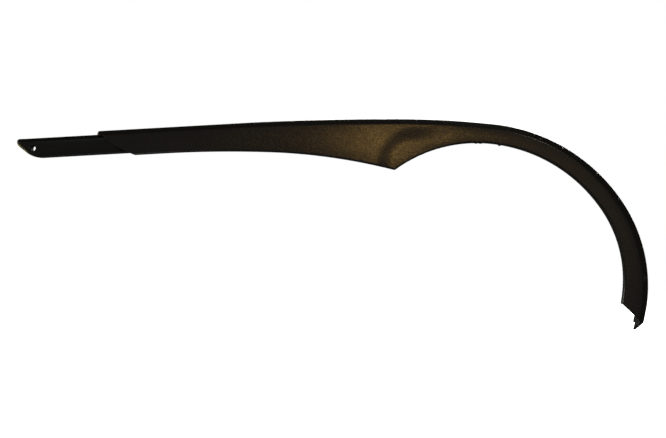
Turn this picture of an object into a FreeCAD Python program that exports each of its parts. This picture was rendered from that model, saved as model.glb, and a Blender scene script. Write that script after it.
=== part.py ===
"""Bicycle chain guard with a rear extension that slides to suit the chain stay.

A thin moulded shell covers the upper run of the chain and hooks over the top and the front of
the chainring. A smaller channel slides inside its rear end and is held by two screws in a slot.
Three brass inserts take the bracket at the crank, and a steel sleeve takes the stay clip.

Outlines are drawn in the side plane, x forward and z up from the crank axis. The part's own
frame is X forward, Y towards the bicycle, Z up, with its origin midway between the mouths of
the two upper bracket inserts.
"""
import FreeCAD, Part
import math
import os

# Outer contour, front to rear about the neck, the point where the crown meets the shoulder
NECK = (7.2, 113.0)
NECK_HEADING = -6.0
CROWN_FRONT = (661.0, -5.9)     # radius, turn in degrees
CROWN_REAR = (1912.0, -3.3)
RUN_LENGTH = 99.0
SHOULDER = (124.2, -50.4)
NOSE = (105.2, -54.0)

# Lower contour
NECK_WIDTH = 14.0
SHOULDER_TAPER = 17.2           # how much smaller the inner radius is along the shoulder
NOSE_TAPER = 19.6               # and along the nose
THROAT = (96.2, -42.5)          # inner arc from the cusp to the neck
RUN_HEIGHT = 18.15
FLARE_START = 53.6              # how far before the end of the run its lower edge falls away
FLARE = (836.0, -5.0)
CUSP_RADIUS = 1.0

# Section of the shell
RUN_FACE = -22.0                # outer face along the chain run
RING_FACE = -23.6               # outer face round the chainring
RIM_EDGE = -1.0                 # inboard edge of the rim
WALL = 2.0
LIP_WALL = 1.35
LIP_DEPTH = 6.0
RIM_BEVEL = 3.6
FOLD_CENTRE = (-57.0, 98.0)
FOLD_SLANT = 50.0               # degrees from the horizontal
FOLD_WIDTH = 17.0

# Ends of the shell
REAR_CUT_TOP = 0.2              # forward of the rim's rear corner
REAR_CUT_SLANTS = (49.3, 27.0)  # above and below the bend
REAR_CUT_BEND = 12.5            # along the upper slant
FRONT_CUT_POINT = (96.6, -12.4)
FRONT_CUT_SLANT = -42.0
TONGUE_TOP = -24.0              # height of the tongue's end at the face
TONGUE_FOOT = -35.0             # and where its slope meets the rim's inboard edge
NOTCH_TOP = -27.6               # height of the step in the tongue's inboard edge
NOTCH_DEPTH = 5.0

# Bracket bosses and gussets
BRACKET_SPACING = 76.0
BRACKET_BOSS_RADIUS = 4.6
BOSS_WELD = 0.5                 # how far a boss sinks into the rim
TIP_BOSS_ANGLE = 3.0            # of the front boss above the crank axis
INSERT_RADIUS = 2.8
INSERT_BORE = 1.65
INSERT_LENGTH = 8.0
KNURL_GROOVE = (0.4, 0.6)       # share of the insert's length from its mouth
KNURL_DEPTH = 0.3
GUSSET_WALL = 1.6
GUSSET_REACH = 7.0
GUSSET_DEPTH = 12.0
GUSSET_TURNS = (14.0, 24.0, 38.0, 49.0)

# Sliding extension
SLIDE_CLEARANCE = 0.3
TAIL_TOP_GAP = 0.5
TAIL_WALL = 1.7
TAIL_LIP_DEPTH = 5.0
TAIL_RIM_EDGE = -3.0
TAIL_REACH = 155.5              # behind the front end of the run
TAIL_INNER_END = 5.0            # ahead of it
TAIL_FOOT = (17.0, -42.0)
TAIL_HEEL = (4.2, -48.0)
TAIL_UPRIGHT = 0.163            # between the heel and the crown
TAIL_CROWN = (2.0, -90.0)
TRAVEL_IN = 15.0
TRAVEL_OUT = 30.0

# Lock screws in the slot
LOCK_SPACING = 24.0
LOCK_BOSS_RADIUS = 3.2
LOCK_BOSS_HEIGHT = 8.0
LOCK_FRONT = -35.0              # from the front end of the run
LOCK_INSERT_RADIUS = 2.1
LOCK_INSERT_LENGTH = 6.0
LOCK_SHANK_RADIUS = 1.5
SHANK_CLEARANCE = 0.1
SLOT_RAIL = 1.1
WASHER_GAP = 0.8                # between a washer and the channel's walls
WASHER_THICKNESS = 0.8
HEAD_RADIUS = 2.85
HEAD_HEIGHT = 2.2
CROWN_RADIUS = 1.3
HEX_ACROSS = 2.0
HEX_DEPTH = 1.2

# Stay hole
STAY_HOLE_RADIUS = 2.1
STAY_SLEEVE_WALL = 0.9
STAY_BOSS_WALL = 1.6
STAY_BOSS_LENGTH = 10.0
STAY_FROM_END = 11.0
STAY_SKIN = 0.8                 # plastic left in front of the sleeve

FAR = 400.0
VIEW = FreeCAD.Vector(0, 1, 0)


# Paths: a start, a heading in degrees, and steps of (length, 0) or (radius, turn)

def along(angle):
    return math.cos(math.radians(angle)), math.sin(math.radians(angle))


def shifted(point, angle, distance):
    """The point moved a distance along an angle."""
    c, s = along(angle)
    return point[0] + c * distance, point[1] + s * distance


def walk(path):
    """Each step as (start, middle or None, end), and the final point and heading.

    A positive turn is to the left. An arc's centre lies one radius to that side.
    """
    point, heading, steps = path
    parts = []
    for size, turn in steps:
        if turn == 0:
            end = shifted(point, heading, size)
            parts.append((point, None, end))
        else:
            side = math.copysign(90.0, turn)
            centre = shifted(point, heading + side, size)
            middle = shifted(centre, heading - side + turn / 2, size)
            end = shifted(centre, heading - side + turn, size)
            parts.append((point, middle, end))
            heading += turn
        point = end
    return parts, point, heading


def offset(path, distance):
    """The parallel path a distance to the left."""
    point, heading, steps = path
    moved = []
    for size, turn in steps:
        inward = 0 if turn == 0 else math.copysign(distance, distance * turn)
        moved.append((size - inward, turn))
    return shifted(point, heading + 90, distance), heading, moved


def closing_arc(point, heading, target):
    """The arc that leaves a point along a heading and reaches the target."""
    dx, dz = target[0] - point[0], target[1] - point[1]
    half = (math.degrees(math.atan2(dz, dx)) - heading + 180) % 360 - 180
    return math.hypot(dx, dz) / 2 / abs(math.sin(math.radians(half))), 2 * half


def turned_back(parts):
    return [(end, middle, start) for start, middle, end in reversed(parts)]


def step_edges(parts, plane):
    """Each step as an edge."""
    edges = []
    for start, middle, end in parts:
        if middle is None:
            edges.append(Part.LineSegment(plane(start), plane(end)).toShape())
        else:
            edges.append(Part.Arc(plane(start), plane(middle), plane(end)).toShape())
    return edges


def region(parts, plane):
    """The face inside a chain of steps, whose gaps and ends are joined by straight lines."""
    joined = []
    for index, part in enumerate(parts):
        following = parts[(index + 1) % len(parts)][0]
        joined.append(part)
        if math.dist(part[2], following) > 1e-6:
            joined.append((part[2], None, following))
    return Part.Face(Part.Wire(step_edges(joined, plane)))


def polygon(points, plane):
    corners = [plane(p) for p in points]
    return Part.Face(Part.makePolygon(corners + corners[:1]))


# The contours

CROWN_TURN = CROWN_FRONT[1] + CROWN_REAR[1]
REARWARD = (NECK, NECK_HEADING + 180, [(CROWN_FRONT[0], -CROWN_FRONT[1]), (CROWN_REAR[0], -CROWN_REAR[1])])
_, RUN_END, _ = walk(REARWARD)
RUN_HEADING = NECK_HEADING - CROWN_TURN
RUN_START = shifted(RUN_END, RUN_HEADING, -RUN_LENGTH)
OUTER = (RUN_START, RUN_HEADING, [(RUN_LENGTH, 0), CROWN_REAR, CROWN_FRONT, SHOULDER, NOSE])

NECK_FOOT = shifted(NECK, NECK_HEADING - 90, NECK_WIDTH)
_, CUSP, _ = walk((NECK_FOOT, NECK_HEADING + 180, [(THROAT[0], -THROAT[1])]))
INNER = (
    CUSP,
    NECK_HEADING - THROAT[1],
    [THROAT, (SHOULDER[0] - SHOULDER_TAPER, SHOULDER[1]), (NOSE[0] - NOSE_TAPER, NOSE[1])],
)
LOWER_START = shifted(RUN_START, RUN_HEADING - 90, RUN_HEIGHT)
FLARED = (LOWER_START, RUN_HEADING, [(RUN_LENGTH - FLARE_START, 0), FLARE])
_, FLARE_END, FLARE_HEADING = walk(FLARED)
LOWER = (LOWER_START, RUN_HEADING, FLARED[2] + [closing_arc(FLARE_END, FLARE_HEADING, CUSP)])


def on_run(ahead, drop):
    """A point from the front end of the run: ahead along it, drop below its top line."""
    return shifted(shifted(RUN_END, RUN_HEADING, ahead), RUN_HEADING - 90, drop)


def under_shoulder(x, inset):
    """The point at x that lies an inset inside the shoulder arc."""
    centre = shifted(NECK, NECK_HEADING - 90, SHOULDER[0])
    return x, centre[1] + math.sqrt((SHOULDER[0] - inset) ** 2 - (x - centre[0]) ** 2)


BRACKET_INSET = WALL + BRACKET_BOSS_RADIUS - BOSS_WELD
BRACKET_HEIGHT = under_shoulder(BRACKET_SPACING / 2, BRACKET_INSET)[1]


def side(y):
    """Maps the side plane to the part's frame at depth y."""
    return lambda p: FreeCAD.Vector(p[0], y, p[1] - BRACKET_HEIGHT)


def prism(face_at, y0, y1):
    """The solid between depths y0 and y1 over a face drawn by face_at(plane)."""
    return face_at(side(y0)).extrude(VIEW * (y1 - y0))


def rod(radius, point, y0, y1):
    return Part.makeCylinder(radius, y1 - y0, side(y0)(point), VIEW)


# The shell

def behind_face(depth):
    """All that lies inboard of the shell's front surface, moved inboard by depth.

    Across the fold the surface is two equal arcs, hollow then crowned, which join the level of
    the chain run to the level of the ring.
    """
    step = RUN_FACE - RING_FACE
    radius = (FOLD_WIDTH ** 2 + step ** 2) / (4 * step)
    turn = math.degrees(2 * math.atan(step / FOLD_WIDTH))
    reach = FAR - FOLD_WIDTH / 2
    steps = [(reach, 0), (radius, -turn), (radius, turn), (reach, 0)]
    front, end, _ = walk(((-FAR, RUN_FACE + depth), 0.0, steps))
    c, s = along(FOLD_SLANT)
    across = FreeCAD.Vector(s, 0, -c)
    fold_line = FreeCAD.Vector(c, 0, s)
    base = side(0)(FOLD_CENTRE) - fold_line * FAR

    def profile(p):
        return base + across * p[0] + VIEW * p[1]

    back = [(end, None, (end[0], FAR)), ((end[0], FAR), None, (-FAR, FAR))]
    return region(front + back, profile).extrude(fold_line * (2 * FAR))


def shell_outline(plane):
    lower = walk(LOWER)[0] + walk(INNER)[0]
    return region(walk(OUTER)[0] + turned_back(lower), plane)


def inside_rim(distance):
    """Draws everything below the outer contour, moved in by a distance."""
    edge = walk(offset(OUTER, -distance))[0]
    first, last = edge[0][0], edge[-1][2]
    corners = [(FAR, last[1]), (FAR, -FAR), (-FAR, -FAR), (-FAR, first[1])]
    low = [(last, None, (last[0], -FAR)), ((last[0], -FAR), None, corners[2])]
    return lambda plane: region(edge + low + [(corners[2], None, corners[3])], plane)


def bevelled(solid, contour, size):
    """Bevels the front edges of a solid that follow a contour."""
    guide = Part.Wire(step_edges(walk(contour)[0], side(0)))
    edges = [e for e in solid.Edges if follows(e, guide)]
    return solid.makeChamfer(size, edges)


def follows(edge, guide):
    """Whether an edge lies over the guide wire in the side view, on the front of the solid."""
    for parameter in edge.ParameterRange[0], sum(edge.ParameterRange) / 2, edge.ParameterRange[1]:
        point = edge.valueAt(parameter)
        if point.y > (RUN_FACE + RIM_EDGE) / 2:
            return False
        flat = FreeCAD.Vector(point.x, 0, point.z)
        if guide.distToShape(Part.Vertex(flat))[0] > 1e-3:
            return False
    return edge.Length > 0.1


def inner_bevel(outer_bevel, wall):
    """The bevel inside a wall that keeps its thickness round a 45 degree bevel."""
    return outer_bevel - wall * (2 - math.sqrt(2))


def shell_blank():
    blank = prism(shell_outline, -FAR, RIM_EDGE)
    cusp_edges = [e for e in blank.Edges if at_cusp(e)]
    blank = blank.makeFillet(CUSP_RADIUS, cusp_edges)
    return bevelled(blank.common(behind_face(0)), OUTER, RIM_BEVEL)


def at_cusp(edge):
    ends = [v.Point for v in edge.Vertexes]
    corner = side(0)(CUSP)
    return len(ends) == 2 and all(math.hypot(p.x - corner.x, p.z - corner.z) < 1e-6 for p in ends)


def shell_cavity():
    """The hollow inside the face, the rim and the lips, open towards the bicycle."""
    outline = shell_outline(side(0)).makeOffset2D(-LIP_WALL)
    outline.translate(FreeCAD.Vector(0, -FAR, 0))
    hollow = outline.extrude(VIEW * (2 * FAR))
    hollow = hollow.common(prism(inside_rim(WALL), -FAR, FAR))
    hollow = hollow.common(behind_face(WALL))
    return bevelled(hollow, offset(OUTER, -WALL), inner_bevel(RIM_BEVEL, WALL))


def rear_cut(plane):
    """All behind the slanted rear edge of the face, which leans back further below its bend."""
    top = shifted(RUN_START, RUN_HEADING, REAR_CUT_TOP)
    upper, lower = [RUN_HEADING - slant for slant in REAR_CUT_SLANTS]
    bend = shifted(top, upper, REAR_CUT_BEND)
    foot = shifted(bend, lower, 60)
    return polygon([shifted(top, upper, -30), bend, foot, shifted(foot, RUN_HEADING, -120)], plane)


def front_cut(plane):
    """The triangle below the slanted front edge of the face."""
    start = shifted(FRONT_CUT_POINT, FRONT_CUT_SLANT, -60)
    end = shifted(FRONT_CUT_POINT, FRONT_CUT_SLANT, 40)
    below = FRONT_CUT_SLANT - 90
    return polygon([start, end, shifted(end, below, 60), shifted(start, below, 60)], plane)


def tongue_cut():
    """All below the slanted end of the rim's tongue and below the step in its inboard edge."""
    slope = (TONGUE_FOOT - TONGUE_TOP) / (RIM_EDGE - RUN_FACE)
    step = RIM_EDGE - NOTCH_DEPTH
    foot = TONGUE_TOP + slope * (step - RUN_FACE)
    front = TONGUE_TOP + slope * (RING_FACE - WALL - RUN_FACE)
    low = TONGUE_FOOT - NOSE[0]
    corners = [(RING_FACE - WALL, front), (step, foot), (step, NOTCH_TOP), (WALL, NOTCH_TOP)]
    corners += [(WALL, low), (RING_FACE - WALL, low)]
    face = polygon(corners, lambda p: FreeCAD.Vector(0, p[0], p[1] - BRACKET_HEIGHT))
    return face.extrude(FreeCAD.Vector(FAR, 0, 0))


def shell_ends():
    inside = prism(inside_rim(WALL), -FAR, FAR)
    slants = prism(rear_cut, -FAR, FAR).fuse(prism(front_cut, -FAR, FAR))
    return slants.common(inside).fuse(tongue_cut())


def bracket_points():
    """The places of the three bracket bosses."""
    nose_start = walk((NECK, NECK_HEADING, [SHOULDER]))[1]
    centre = shifted(nose_start, NECK_HEADING + SHOULDER[1] - 90, NOSE[0])
    return {
        "rear": (-BRACKET_SPACING / 2, BRACKET_HEIGHT),
        "upper": (BRACKET_SPACING / 2, BRACKET_HEIGHT),
        "front": shifted(centre, TIP_BOSS_ANGLE, NOSE[0] - BRACKET_INSET),
    }


def lock_points():
    middle = (TAIL_TOP_GAP + WALL + RUN_HEIGHT - LIP_WALL - SLIDE_CLEARANCE) / 2
    return {
        "front": on_run(LOCK_FRONT, middle),
        "rear": on_run(LOCK_FRONT - LOCK_SPACING, middle),
    }


def gusset(turn):
    """A triangular web between the face and the rim, at an angle round the shoulder."""
    root, heading = walk((NECK, NECK_HEADING, [(SHOULDER[0], -turn)]))[1:]
    c, s = along(heading)
    forward = FreeCAD.Vector(c, 0, s)
    inward = FreeCAD.Vector(s, 0, -c)
    start = side(0)(root) - forward * (GUSSET_WALL / 2)
    deep = RING_FACE + WALL / 2
    corners = [(WALL / 2, deep + GUSSET_DEPTH), (WALL / 2, deep), (WALL / 2 + GUSSET_REACH, deep)]
    return polygon(corners, lambda p: start + inward * p[0] + VIEW * p[1]).extrude(forward * GUSSET_WALL)


def guard_shell():
    """The moulded shell with its bosses, gussets and insert pockets."""
    blank = shell_blank()
    behind_lip = prism(inside_rim(WALL), -FAR, FAR).common(behind_face(LIP_DEPTH))
    shell = blank.cut([shell_cavity(), behind_lip, shell_ends()])
    behind_skin = behind_face(WALL / 2)
    added = [gusset(turn).common(blank) for turn in GUSSET_TURNS]
    pockets = []
    for point in bracket_points().values():
        added.append(rod(BRACKET_BOSS_RADIUS, point, -FAR, 0).common(behind_skin))
        pockets.append(rod(INSERT_RADIUS, point, -INSERT_LENGTH, 1))
    for point in lock_points().values():
        added.append(rod(LOCK_BOSS_RADIUS, point, RUN_FACE + WALL / 2, LOCK_SEAT))
        pockets.append(rod(LOCK_INSERT_RADIUS, point, LOCK_SEAT - LOCK_INSERT_LENGTH, LOCK_SEAT + 1))
    return shell.fuse(added).cut(pockets).removeSplitter()


# The extension

LOCK_SEAT = RUN_FACE + WALL + LOCK_BOSS_HEIGHT
TAIL_FACE = RUN_FACE + WALL + SLIDE_CLEARANCE
TAIL_TOP = WALL + TAIL_TOP_GAP
TAIL_BOTTOM = RUN_HEIGHT - LIP_WALL - SLIDE_CLEARANCE
TAIL_BEVEL = inner_bevel(RIM_BEVEL, WALL)
WASHER_RADIUS = (TAIL_BOTTOM - TAIL_TOP) / 2 - TAIL_WALL - WASHER_GAP
_, (_, TAIL_ARCS_RISE), _ = walk(((0, 0), 180.0, [TAIL_FOOT, TAIL_HEEL]))
TAIL_RISE = TAIL_BOTTOM - TAIL_TOP - TAIL_CROWN[0] - TAIL_UPRIGHT
TAIL_SLANT = (TAIL_RISE - TAIL_ARCS_RISE) / along(90 + TAIL_FOOT[1])[0]


def tail_path():
    """The extension's outline: bottom edge, slanted rear end, top edge."""
    slanted = [TAIL_FOOT, (TAIL_SLANT, 0), TAIL_HEEL]
    _, (setback, _), _ = walk(((0, 0), 180.0, slanted))
    bottom = TAIL_INNER_END + TAIL_REACH + setback
    top = TAIL_INNER_END + TAIL_REACH - TAIL_CROWN[0]
    steps = [(bottom, 0)] + slanted + [(TAIL_UPRIGHT, 0), TAIL_CROWN, (top, 0)]
    return on_run(TAIL_INNER_END, TAIL_BOTTOM), RUN_HEADING + 180, steps


def tail_outline(inset):
    """Draws the outline moved in by an inset, square at its inner end."""
    return lambda plane: region(walk(offset(tail_path(), -inset))[0], plane)


def slot_ends():
    front = LOCK_FRONT + LOCK_BOSS_RADIUS + SLIDE_CLEARANCE + TRAVEL_OUT
    rear = LOCK_FRONT - LOCK_SPACING - LOCK_BOSS_RADIUS - SLIDE_CLEARANCE - TRAVEL_IN
    return rear, front


def slot(grow):
    """Draws the slot for the lock bosses, grown all round."""
    rear, front = slot_ends()
    radius = LOCK_BOSS_RADIUS + SLIDE_CLEARANCE + grow
    middle = (TAIL_TOP + TAIL_BOTTOM) / 2
    start = on_run(rear + radius - grow, middle + radius)
    length = front - rear - 2 * (radius - grow)
    half_round = (radius, 180.0)
    path = (start, RUN_HEADING, [(length, 0), half_round, (length, 0), half_round])
    return lambda plane: region(walk(path)[0], plane)


def stay_point():
    return on_run(STAY_FROM_END - TAIL_REACH, (TAIL_TOP + TAIL_BOTTOM) / 2)


def run_prism(corners, rear, front):
    """A prism along the run over corners of (drop, depth), between two places on the run."""
    base = side(0)(on_run(rear, 0))
    down = side(0)(on_run(rear, 1)) - base
    ahead = side(0)(on_run(rear + 1, 0)) - base
    return polygon(corners, lambda p: base + down * p[0] + VIEW * p[1]).extrude(ahead * (front - rear))


def tail_channel():
    """The C section of the extension: rim above, bevel, face, and a lip below."""
    inner = inner_bevel(TAIL_BEVEL, TAIL_WALL)
    back = TAIL_FACE + TAIL_WALL
    corners = [
        (TAIL_TOP, TAIL_RIM_EDGE),
        (TAIL_TOP, TAIL_FACE + TAIL_BEVEL),
        (TAIL_TOP + TAIL_BEVEL, TAIL_FACE),
        (TAIL_BOTTOM, TAIL_FACE),
        (TAIL_BOTTOM, TAIL_FACE + TAIL_LIP_DEPTH),
        (TAIL_BOTTOM - TAIL_WALL, TAIL_FACE + TAIL_LIP_DEPTH),
        (TAIL_BOTTOM - TAIL_WALL, back),
        (TAIL_TOP + TAIL_WALL + inner, back),
        (TAIL_TOP + TAIL_WALL, back + inner),
        (TAIL_TOP + TAIL_WALL, TAIL_RIM_EDGE),
    ]
    return run_prism(corners, -TAIL_REACH, TAIL_INNER_END)


def tail_end_wall():
    """The wall round the slanted rear end, as deep as the lip."""
    shape = prism(tail_outline(0), TAIL_FACE, TAIL_FACE + TAIL_LIP_DEPTH)
    ring = shape.cut(prism(tail_outline(TAIL_WALL), TAIL_FACE - 1, 1))
    reach = TAIL_FOOT[0] + TAIL_SLANT + TAIL_HEEL[0]
    back = TAIL_FACE + TAIL_LIP_DEPTH
    corners = [(TAIL_TOP + TAIL_BEVEL, TAIL_FACE), (TAIL_TOP, TAIL_FACE + TAIL_BEVEL), (TAIL_TOP, back)]
    corners += [(TAIL_BOTTOM, back), (TAIL_BOTTOM, TAIL_FACE)]
    return ring.common(run_prism(corners, -TAIL_REACH, reach - TAIL_REACH))


def tail_extension():
    solid = tail_channel().common(prism(tail_outline(0), -FAR, FAR)).fuse(tail_end_wall())
    rail = prism(slot(SLOT_RAIL), TAIL_FACE + TAIL_WALL / 2, LOCK_SEAT - SLIDE_CLEARANCE)
    outside = STAY_HOLE_RADIUS + STAY_SLEEVE_WALL
    boss_end = TAIL_FACE + STAY_BOSS_LENGTH
    boss = rod(outside + STAY_BOSS_WALL, stay_point(), TAIL_FACE + TAIL_WALL / 2, boss_end)
    solid = solid.fuse([rail, boss])
    opening = prism(slot(0), TAIL_FACE - 1, 1)
    hole = rod(STAY_HOLE_RADIUS, stay_point(), TAIL_FACE - 1, 1)
    seat = rod(outside, stay_point(), TAIL_FACE + STAY_SKIN, 1)
    return solid.cut([opening, hole, seat]).removeSplitter()


# Hardware

def insert(radius, bore, length, point, mouth):
    """A brass insert with a groove round its middle, its mouth at a given depth."""
    near, far = [mouth - length * share for share in KNURL_GROOVE]
    core = rod(radius - KNURL_DEPTH, point, mouth - length, mouth)
    groove = rod(radius + 1, point, far, near).cut(core)
    thread = rod(bore, point, mouth - length - 1, mouth + 1)
    return rod(radius, point, mouth - length, mouth).cut([groove, thread])


def washer(point):
    """A flat washer on the seat of a lock boss."""
    disc = rod(WASHER_RADIUS, point, LOCK_SEAT, LOCK_SEAT + WASHER_THICKNESS)
    disc = disc.makeFillet(WASHER_THICKNESS / 4, [e for e in disc.Edges if e.Length > WASHER_RADIUS])
    return disc.cut(rod(LOCK_SHANK_RADIUS + SHANK_CLEARANCE, point, LOCK_SEAT - 1, LOCK_SEAT + 2))


def lock_screw(point):
    """A button-head screw with a hexagon socket."""
    under = LOCK_SEAT + WASHER_THICKNESS
    top = under + HEAD_HEIGHT
    head = rod(HEAD_RADIUS, point, under, top)
    crown = [e for e in head.Edges if all(abs(v.Point.y - top) < 1e-6 for v in e.Vertexes)]
    head = head.makeFillet(CROWN_RADIUS, crown)
    shank = rod(LOCK_SHANK_RADIUS, point, under - LOCK_INSERT_LENGTH, under + 0.5)
    corner = HEX_ACROSS / math.sqrt(3)
    hexagon = [shifted(point, 60 * k, corner) for k in range(6)]
    socket = prism(lambda plane: polygon(hexagon, plane), top - HEX_DEPTH, top + 1)
    return head.fuse(shank).cut(socket).removeSplitter()


def stay_sleeve():
    """A steel sleeve that carries the stay screw through the plastic."""
    start, end = TAIL_FACE + STAY_SKIN, TAIL_FACE + STAY_BOSS_LENGTH
    tube = rod(STAY_HOLE_RADIUS + STAY_SLEEVE_WALL, stay_point(), start, end)
    return tube.cut(rod(STAY_HOLE_RADIUS, stay_point(), start - 1, end + 1))


def build():
    pieces = {"guard_shell": guard_shell(), "tail_extension": tail_extension(), "stay_sleeve": stay_sleeve()}
    for name, point in bracket_points().items():
        pieces[f"bracket_insert_{name}"] = insert(INSERT_RADIUS, INSERT_BORE, INSERT_LENGTH, point, 0.0)
    for name, point in lock_points().items():
        pieces[f"lock_insert_{name}"] = insert(
            LOCK_INSERT_RADIUS, LOCK_SHANK_RADIUS, LOCK_INSERT_LENGTH, point, LOCK_SEAT
        )
        pieces[f"lock_washer_{name}"] = washer(point)
        pieces[f"lock_screw_{name}"] = lock_screw(point)
    return pieces


os.makedirs("parts", exist_ok=True)
for node, shape in build().items():
    shape.exportStep(os.path.join("parts", node + ".step"))
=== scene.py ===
"""A bicycle chain guard: a thin black moulded shell, its sliding rear extension, and their fittings.

Lengths are in millimetres about the crank axis until a mesh is made, x forward and z up, and depths
grow towards the bicycle. Every moulded wall is a pair of surfaces, one outer and one inner, each a
section carried along a contour of straights and tangent arcs.
"""
import math

import bmesh
import bpy
import numpy as np
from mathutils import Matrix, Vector
from mathutils.geometry import delaunay_2d_cdt


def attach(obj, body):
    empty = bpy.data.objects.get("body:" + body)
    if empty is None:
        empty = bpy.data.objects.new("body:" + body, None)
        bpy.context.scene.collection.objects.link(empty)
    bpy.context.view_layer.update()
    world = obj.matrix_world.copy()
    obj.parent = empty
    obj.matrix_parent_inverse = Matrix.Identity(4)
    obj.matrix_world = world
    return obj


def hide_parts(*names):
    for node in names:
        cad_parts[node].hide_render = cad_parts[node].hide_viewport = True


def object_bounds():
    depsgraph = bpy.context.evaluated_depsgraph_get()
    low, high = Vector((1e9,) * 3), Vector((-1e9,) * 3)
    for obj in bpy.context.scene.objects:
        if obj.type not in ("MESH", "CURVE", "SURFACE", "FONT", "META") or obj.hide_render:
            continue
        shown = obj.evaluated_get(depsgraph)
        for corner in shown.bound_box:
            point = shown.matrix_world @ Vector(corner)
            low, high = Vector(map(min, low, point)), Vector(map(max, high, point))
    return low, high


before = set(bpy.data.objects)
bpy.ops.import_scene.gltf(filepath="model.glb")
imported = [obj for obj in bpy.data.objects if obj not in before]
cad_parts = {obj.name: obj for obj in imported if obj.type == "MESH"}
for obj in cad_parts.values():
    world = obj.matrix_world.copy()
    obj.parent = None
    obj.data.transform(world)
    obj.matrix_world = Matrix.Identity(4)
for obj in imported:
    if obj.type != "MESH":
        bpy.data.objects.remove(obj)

CAD_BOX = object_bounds()
MM = 0.001

# Contours, as radius and turn in degrees
NECK = (7.2, 113.0)
NECK_HEADING = -6.0
CROWN_FRONT = (661.0, -5.9)
CROWN_REAR = (1912.0, -3.3)
RUN_LENGTH = 99.0
SHOULDER = (124.2, -50.4)
NOSE = (105.2, -54.0)
NECK_WIDTH = 14.0
SHOULDER_TAPER = 17.2
NOSE_TAPER = 19.6
THROAT = (96.2, -42.5)
RUN_HEIGHT = 18.15
FLARE_START = 53.6
FLARE = (836.0, -5.0)

# Shell section
RUN_FACE = -22.0
RING_FACE = -23.6
RIM_EDGE = -1.0
WALL = 2.0
LIP_WALL = 1.35
LIP_DEPTH = 6.0
RIM_BEVEL = 3.6
NOSE_BEVEL = 5.4
BEVEL_GROWTH = (0.5, 0.42)
FACE_CROWN = 0.2
NIBS = ((-10.7, 0.45), (-7.6, 0.5), (6.6, 0.8))
NIB_WIDTH = 0.9

# Shell ends
REAR_SHEAR = 42.0
FRONT_SHEAR = 46.0
END_ROUND = 0.6
END_THINNING = 0.75
REAR_SET = 0.2
REAR_SLOPES = (0.86, 1.1)
REAR_BEND = (9.5, 2.5)
REAR_CORNER = (1.6, 1.8)
LEAD_IN = (3.4, 1.5)
LEAD_WIDTH = (0.9, 1.5)
FRONT_POINT = (96.3, -12.8)
FRONT_SLANT = -42.0
FRONT_CORNER = (1.9, 1.0)
TONGUE_TOP = -24.0
TONGUE_FOOT = -35.0
NOTCH_TOP = -27.6
NOTCH_DEPTH = 5.0

# Fold between the chain run and the ring
FOLD_CENTRE = (-49.4, 84.8)
FOLD_RADIUS = 20.3
FOLD_WIDTH = 12.5
FOLD_STEP = 0.6
FOLD_FADE = (-52.0, 34.0)
RUN_RISE = (-165.0, 95.0)

# Bosses and gussets
BRACKET_SPACING = 76.0
BOSS_RADIUS = 4.6
BOSS_WELD = 0.5
TIP_BOSS_ANGLE = 3.0
INSERT_RADIUS = 2.8
INSERT_LENGTH = 8.0
THREAD_MINOR = 1.65
THREAD_MAJOR = 2.0
THREAD_PITCH = 0.7
GUSSET_WALL = 1.6
GUSSET_REACH = 7.0
GUSSET_DEPTH = 12.0
GUSSET_HOLLOW = (2.6, 4.0)
GUSSET_TURNS = (14.0, 24.0, 38.0, 49.0)

# Extension
SLIDE_CLEARANCE = 0.3
TAIL_TOP = 2.5
TAIL_WALL = 1.7
TAIL_LIP = 5.0
TAIL_RIM_EDGE = -3.0
TAIL_REACH = 155.5
TAIL_INNER_END = 5.0
TAIL_BEVEL = 2.4
END_BEVEL = 1.35
FOOT_BEVEL = 0.7
TAIL_FOOT = (17.0, -42.0)
TAIL_SLANT = 6.5
TAIL_HEEL = (4.2, -48.0)
TAIL_CROWN = (2.0, -90.0)
TRAVEL_IN = 15.0
TRAVEL_OUT = 30.0
LOCK_SPACING = 24.0
LOCK_BOSS = 3.2
LOCK_BOSS_HEIGHT = 8.0
LOCK_FRONT = -35.0
LOCK_INSERT = 2.1
LOCK_INSERT_LENGTH = 6.0
SLOT_RAIL = 1.1
STAY_HOLE = 2.1
STAY_SLEEVE = 3.0
STAY_BOSS = 4.6
STAY_BOSS_LENGTH = 10.0
STAY_FROM_END = 11.0
HOLE_MARGIN = 0.6

# Sizes worked out from those above
BRACKET_INSET = WALL + BOSS_RADIUS - BOSS_WELD
TAIL_BOTTOM = RUN_HEIGHT - LIP_WALL - SLIDE_CLEARANCE
TAIL_MIDDLE = (TAIL_TOP + TAIL_BOTTOM) / 2
TAIL_FACE = RUN_FACE + WALL + SLIDE_CLEARANCE
LOCK_SEAT = RUN_FACE + WALL + LOCK_BOSS_HEIGHT
STAY_POINT = (STAY_FROM_END - TAIL_REACH, -TAIL_MIDDLE)


# Contours

def shifted(point, angle, distance):
    a = math.radians(angle)
    return point[0] + math.cos(a) * distance, point[1] + math.sin(a) * distance


def sample(path, spacing=0.8):
    """Points, headings and distances along a path of (length, 0) and (radius, turn) steps.

    On an arc the point is the centre plus one radius at right angles to the heading, and the
    heading changes in proportion to the distance.
    """
    point, heading, steps = path
    points, headings, lengths = [np.array([point])], [np.array([heading])], [np.zeros(1)]
    gone = 0.0
    for size, turn in steps:
        length = size if turn == 0 else size * math.radians(abs(turn))
        share = np.linspace(0, 1, max(2, math.ceil(length / spacing) + 1))[1:]
        h = heading + share * turn
        if turn == 0:
            step = np.array([shifted((0, 0), heading, 1)]) * (share * size)[:, None]
            run = np.array([point]) + step
        else:
            side = math.copysign(90.0, turn)
            centre = np.array(shifted(point, heading + side, size))
            away = np.radians(h - side)
            run = centre + size * np.column_stack([np.cos(away), np.sin(away)])
        points.append(run)
        headings.append(h)
        lengths.append(gone + share * length)
        gone += length
        point, heading = tuple(run[-1]), heading + turn
    return np.concatenate(points), np.concatenate(headings), np.concatenate(lengths)


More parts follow.
